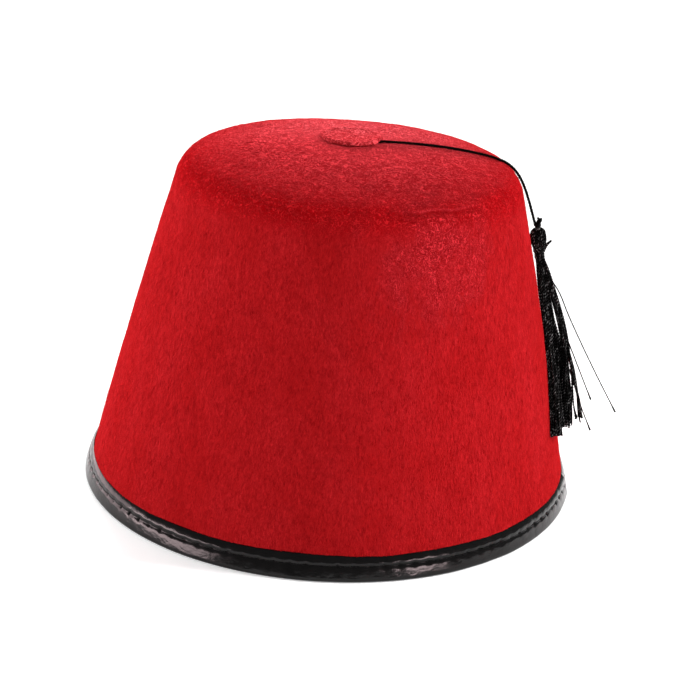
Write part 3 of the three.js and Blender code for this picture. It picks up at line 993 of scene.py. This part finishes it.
def build_cord(finish):
    path = hung(smooth_curve([CORD_UNDER_BUTTON, *CORD_ROUTE], CORD_STEPS))
    heap = Heap()
    add_cord(heap, path, CORD_PITCH)
    return heap.piece("twisted_cord", finish, "black_thread", "tassel_cord"), path


def build_knot(finish):
    turn = np.linspace(0, math.tau, KNOT_STEPS)
    trefoil = np.stack([
        np.sin(turn) + 2 * np.sin(2 * turn),
        np.cos(turn) - 2 * np.cos(2 * turn),
        -KNOT_DEEP * np.sin(3 * turn),
    ], axis=1)
    heap = Heap()
    add_cord(heap, hung(KNOT_REACH * trefoil + KNOT_PLACE), KNOT_PITCH)
    tail = hung(smooth_curve(KNOT_TAIL, TAIL_STEPS))
    add_cord(heap, tail, 2 * KNOT_PITCH, TAIL_FLARE, TAIL_THICK)
    heap.add_tube(tail, TAIL_FILL, TAIL_SIDES)
    add_cord(heap, hung(smooth_curve(KNOT_STEM, TAIL_STEPS)), KNOT_PITCH)
    return heap.piece("knot", finish, "black_thread", "cord_knot")


# Tassel head: threads folded over a ball and drawn in to a neck, with a thread wound round it

THREAD_RADIUS = 0.00031
THREAD_SIDES = 6
THREAD_PITCH = 0.0024
TWIST_LOBE = 0.28
FRAY = 0.5
FRAY_LENGTH = 0.0022
HEAD_PLACE = (0.0731, 0.0032, 0.1007)
HEAD_LEAN = math.radians(10)
HEAD_TURN = np.array(Matrix.Rotation(-HEAD_LEAN, 3, "Y"))
HEAD_PROFILE = [
    (0.0003, 0.0037), (0.0016, 0.0036), (0.0026, 0.0027),
    (0.0030, 0.0012), (0.0030, -0.0008), (0.0026, -0.0026),
    (0.0020, -0.0042), (0.0018, -0.0056), (0.0016, -0.0080),
]
HEAD_THREADS = 40
HEAD_STEPS = 60
HEAD_SLANT = 0.3  # how far the threads wind to each side on their way down
HEAD_UNEVEN = 0.05
HEAD_SINK = (0.3, 0.9)  # how deep they lie, as a share of their radius
CORE_SIDES = 20
CORE_LEAST = 0.0001
TIE_TURNS = 3
TIE_STEPS = 40  # for each turn
TIE_SIDES = 7
TIE_RADIUS = 0.0020
TIE_UNEVEN = 0.0001
TIE_WAVES = 3
TIE_UP = -0.0047
TIE_TAIL_STEPS = 12
TIE_TAIL_THICK = np.linspace(2.4, 1.3, TIE_TAIL_STEPS) * THREAD_RADIUS
TIE_TAIL = [
    (0.0018, -0.0003, -0.0048), (0.0027, -0.0003, -0.0034),
    (0.0037, -0.0004, -0.0023), (0.0049, -0.0006, -0.0013),
]


def on_head(points):
    """Points given about the head's middle, upright, where the head leans."""
    return np.asarray(points) @ HEAD_TURN.T + HEAD_PLACE


def build_head(finish):
    line = smooth_curve(HEAD_PROFILE, HEAD_STEPS)
    heap = Heap()
    for azimuth in all_round(HEAD_THREADS):
        swing = chance.normal(0, HEAD_UNEVEN) + np.linspace(-HEAD_SLANT, HEAD_SLANT, HEAD_STEPS)
        sink = THREAD_RADIUS * chance.uniform(*HEAD_SINK)
        path = around_axis(line[:, 0] - sink, line[:, 1], azimuth + swing)
        heap.add_twist(hung(on_head(path)))
    core = np.clip(line[::-1, 0] - 2 * THREAD_RADIUS, CORE_LEAST, None)
    angle = all_round(CORE_SIDES)
    rings = np.concatenate([around_axis(r, z, angle) for r, z in zip(core, line[::-1, 1])])
    ends = [np.arange(CORE_SIDES)[::-1], np.arange(len(rings) - CORE_SIDES, len(rings))]
    heap.add(hung(on_head(rings)), [*grid_quads(len(core), CORE_SIDES), *ends])
    return heap.piece("tassel_head", finish, "black_thread", "tassel")


def build_tie(finish):
    turn = np.linspace(0, math.tau * TIE_TURNS, TIE_STEPS * TIE_TURNS)
    rise = TIE_UP + 2 * THREAD_RADIUS * (turn / math.tau - TIE_TURNS / 2)
    winding = around_axis(TIE_RADIUS + TIE_UNEVEN * np.sin(TIE_WAVES * turn), rise, turn)
    tail = smooth_curve(TIE_TAIL, TIE_TAIL_STEPS)
    heap = Heap()
    heap.add_tube(hung(on_head(winding)), THREAD_RADIUS, TIE_SIDES)
    heap.add_tube(hung(on_head(tail)), TIE_TAIL_THICK, TIE_SIDES)
    return heap.piece("neck_winding", finish, "black_thread", "neck_tie")


# Skirt of threads in locks

# Where the locks leave the neck, and the share of their spread that they have there
NECK_SIDE = 0.002
NECK_STAND = 0.003
NECK_UP = 0.0914
NECK_SPREAD = 0.16

# Where a lock lies in the neck: stand and side of one in its middle, what more takes one to its edge, the
# neck's radius, and how far a lock's threads spread in it
NECK_MIDDLE = np.array([0.0036, -0.008])
NECK_SPAN = np.array([0.0030, 0.011])
NECK_RADIUS = 0.0010
NECK_THREADS = 0.0006
NECK_ROUTE = [  # share of the way out from the neck's middle, and height on the head
    (0.8, -0.0034),
    (1.0, -0.0052),
    (1.0, -0.0078),
]

# Lower end's place to the side, its stand from the felt and its height, the lock's thickness, how soon it
# spreads below the neck, how much further it stands off halfway down, and how much less above that and
# more below
LOCKS = [
    (-0.0210, 0.0016, 0.0302, 0.0026, 0.35, -0.0001, 0.0003),
    (-0.0170, 0.0016, 0.0290, 0.0026, 0.35, -0.0001, 0.0003),
    (-0.0130, 0.0013, 0.0276, 0.0020, 0.35, 0.0002, 0.0002),
    (-0.0100, 0.0013, 0.0273, 0.0022, 0.35, 0.0009, -0.0002),
    (-0.0080, 0.0020, 0.0282, 0.0020, 0.35, 0.0014, -0.0004),
    (-0.0030, 0.0014, 0.0260, 0.0022, 0.35, 0.0012, 0.0000),
    (0.0025, 0.0014, 0.0267, 0.0022, 0.35, 0.0002, 0.0000),
    (-0.0020, 0.0036, 0.0264, 0.0021, 0.35, 0.0017, 0.0011),
    (-0.0040, 0.0048, 0.0277, 0.0014, 0.45, 0.0027, 0.0000),
    (0.0015, 0.0020, 0.0268, 0.0021, 0.40, 0.0016, 0.0004),
    (-0.0015, 0.0098, 0.0287, 0.0014, 0.62, 0.0010, 0.0000),
    (-0.0045, 0.0052, 0.0282, 0.0014, 0.50, 0.0026, 0.0000),
]
OUTER_SPACING = 0.00026  # thickness of a lock for each thread on its outside
INNER_SPACING = 0.00014  # thickness over the thinnest lock's for each plain thread inside
INNER_REACH = 0.85
THIN_LOCK = 0.0010
LOCK_STEPS = 23
LOCK_START = 0.04  # share of its length at which it comes free of the neck
LOCK_WIDTHS = (0.8, 1.2)  # shares of its thickness at its start and end
THREAD_TURN = 0.7
THREAD_WAVE = 0.0004
THREAD_WAVES = (4, 14)
THREAD_DRIFT = 0.0005
LOOSE_LEAST = 0.6
LOOSE_STAND = 0.009
THREAD_UNEVEN = 0.0018
THREAD_ENDS = (-0.4, 1)
OUTER_STEPS = 170
INNER_STEPS = 26


def beside_wall(side, stand, height):
    """Points over the wall, so far to the side of the hanging direction and so far from the felt."""
    mean = wall_foot + (CORNER_RADIUS - wall_foot) * height / CORNER_HEIGHT
    angle = side / mean
    radius = mean * oval_share(height, angle + HANG_ANGLE) + stand / wall_up[1]
    return around_axis(radius, height, angle)


def lock_thread(lock, angle, reach):
    """Route of a thread from the neck down, at an angle and a share of the way out in the lock's section."""
    side, stand, end, thick, flare, belly, swing = lock
    along = np.linspace(LOCK_START, 1, LOCK_STEPS)
    spread = NECK_SPREAD + (1 - NECK_SPREAD) * along ** flare
    turn = angle + chance.normal(0, THREAD_TURN) * along
    off = reach * thick / 2 * np.interp(along, (0, 1), LOCK_WIDTHS)
    looseness = THREAD_WAVE * (LOOSE_LEAST + stand / LOOSE_STAND) * along
    wave, ripple = (
        looseness * np.sin(along * chance.uniform(*THREAD_WAVES) + chance.uniform(0, math.tau))
        for _ in range(2)
    )
    drift = chance.normal(0, THREAD_DRIFT) * along
    sides = NECK_SIDE + (side - NECK_SIDE) * along * spread + off * np.cos(turn) + wave
    bulge = belly * np.sin(math.pi * along) - swing * np.sin(math.tau * along) + drift
    stands = NECK_STAND + (stand - NECK_STAND) * spread + bulge + off * np.sin(turn) + ripple
    heights = NECK_UP + (end + chance.uniform(*THREAD_ENDS) * THREAD_UNEVEN - NECK_UP) * along
    neck = np.clip((np.array([stand, side]) - NECK_MIDDLE) / NECK_SPAN, -1, 1) * NECK_RADIUS
    neck += NECK_THREADS * reach * np.array([math.sin(angle), math.cos(angle)])
    tied = on_head([(*(share * neck), up) for share, up in NECK_ROUTE])
    clear = np.maximum(stands, WALL_BULGE + THREAD_RADIUS)
    return np.concatenate([tied, beside_wall(sides, clear, heights)])


def build_skirt(finish):
    outer = Heap()
    inner = Heap()
    for lock in LOCKS:
        first = chance.uniform(0, math.tau)
        _, _, _, thick, *_ = lock
        for angle in first + all_round(round(thick / OUTER_SPACING)):
            route = lock_thread(lock, angle, 1)
            outer.add_twist(hung(smooth_curve(route, OUTER_STEPS)))
        for _ in range(round((thick - THIN_LOCK) / INNER_SPACING)):
            angle = chance.uniform(0, math.tau)
            route = lock_thread(lock, angle, INNER_REACH * math.sqrt(chance.uniform()))
            inner.add_tube(hung(smooth_curve(route, INNER_STEPS)), THREAD_RADIUS, THREAD_SIDES)
    inner.piece("tassel_core", finish, "black_thread", "tassel")
    outer.piece("tassel_skirt", finish, "black_thread", "tassel")


# Single threads that stand away from the skirt

STRAYS = [
    [(0.0765, 0.0012, 0.0905), (0.0785, -0.0005, 0.0870), (0.0823, -0.0024, 0.0823),
     (0.0872, -0.0028, 0.0730), (0.0978, -0.0036, 0.0545), (0.1098, -0.0050, 0.0350)],
    [(0.0800, -0.0010, 0.0800), (0.0850, -0.0018, 0.0690), (0.0905, -0.0023, 0.0579),
     (0.1000, -0.0031, 0.0387)],
    [(0.0880, -0.0015, 0.0560), (0.0925, -0.0018, 0.0450), (0.0963, -0.0020, 0.0360),
     (0.1014, -0.0025, 0.0255)],
]
STRAY_STEPS = 40
STRAY_RADIUS = 0.00024
STRAY_SWELL = 0.7  # how much thicker it gets at its frayed tip, and on what length
STRAY_TIP = 0.0040


def build_strays(finish):
    heap = Heap()
    for route in STRAYS:
        path = smooth_curve(route, STRAY_STEPS)
        left = np.linalg.norm(path - path[-1], axis=1)
        radius = STRAY_RADIUS * (1 + STRAY_SWELL * np.clip(1 - left / STRAY_TIP, 0, 1))
        heap.add_tube(hung(path), radius, THREAD_SIDES)
    heap.piece("stray_threads", finish, "black_thread")


# Camera, floor and lights

def faced(azimuth, elevation):
    """Turn of a camera or a light that looks towards the hat from an azimuth and an elevation."""
    return Matrix.Rotation(HANG_ANGLE + azimuth, 4, "Z") @ Matrix.Rotation(math.pi / 2 - elevation, 4, "X")


def build_camera():
    data = bpy.data.cameras.new("camera")
    data.lens = CAMERA_LENS
    data.sensor_width = CAMERA_SENSOR
    place = Matrix.Translation(Vector(hung((0, -CAMERA_DISTANCE, CAMERA_HEIGHT))))
    camera = put_in_scene("camera", data)
    camera.matrix_world = place @ faced(-CAMERA_YAW, CAMERA_PITCH) @ Matrix.Rotation(CAMERA_ROLL, 4, "Z")
    bpy.context.scene.camera = camera


def softbox(name, azimuth, elevation, width, height, power):
    """Rectangular light that faces the hat."""
    data = bpy.data.lights.new(name, "AREA")
    data.shape = "RECTANGLE"
    data.size = width
    data.size_y = height
    data.energy = power
    lamp = put_in_scene(name, data)
    aim = Matrix.Translation((0, 0, LIGHT_AIM))
    turn = faced(math.radians(azimuth), math.radians(elevation))
    lamp.matrix_world = aim @ turn @ Matrix.Translation((0, 0, LIGHT_DISTANCE))
    return lamp


def build_floor():
    corners = [(FLOOR_REACH * x, FLOOR_REACH * y, 0) for x, y in ((-1, -1), (1, -1), (1, 1), (-1, 1))]
    mesh = bpy.data.meshes.new("floor")
    mesh.from_pydata(corners, [], [(0, 1, 2, 3)])
    mesh.materials.append(floor_finish())
    put_in_scene("floor", mesh)


def build_world():
    """Dim fill light, with a white backdrop behind the hat."""
    world = bpy.data.worlds.new("studio")
    bpy.context.scene.world = world
    world.use_nodes = True
    tree = world.node_tree
    background = tree.nodes["Background"]
    background.inputs["Color"].default_value = (1, 1, 1, 1)
    strength = tree.nodes.new("ShaderNodeMath")
    strength.operation = "MAXIMUM"
    strength.inputs[1].default_value = FILL
    path = tree.nodes.new("ShaderNodeLightPath")
    tree.links.new(path.outputs["Is Camera Ray"], strength.inputs[0])
    tree.links.new(strength.outputs[0], background.inputs["Strength"])


build_camera()
build_floor()
build_world()
for light in LIGHTS:
    softbox(*light).visible_glossy = False
for card in CARDS:
    lit = softbox(*card)
    lit.visible_diffuse = False
    lit.data.color = CARD_TINT
bpy.context.scene.view_settings.view_transform = "Standard"

crown_felt = felt_finish("red_felt", TOP_WRINKLES, TOP_PAINTED_LIGHT_TONES, CROWN_CALM)
button_felt = felt_finish("button_felt", BUTTON_WRINKLES, BUTTON_TONES, BUTTON_CALM)
rayon = thread_finish("black_rayon", THREAD_PITCH, rough=0.30, gloss=0.03, painted_highlight_colour=(0.42, 0.40, 0.40, 1))
twine = thread_finish("black_twine", TWINE_PITCH, rough=0.55, gloss=0.05, painted_highlight_colour=(0.012, 0.011, 0.011, 1))
sewing = thread_finish("sewing_thread", SEWING_PITCH, rough=0.30, gloss=0.1, painted_highlight_colour=(0.03, 0.03, 0.03, 1))

build_crown(crown_felt)
build_fibres(fibre_finish())
build_tape(vinyl_finish())
build_stitches(sewing)
build_button(button_felt)
cord, cord_path = build_cord(twine)
knot = build_knot(twine)
head = build_head(rayon)
tie = build_tie(rayon)
build_skirt(rayon)
build_strays(twine)
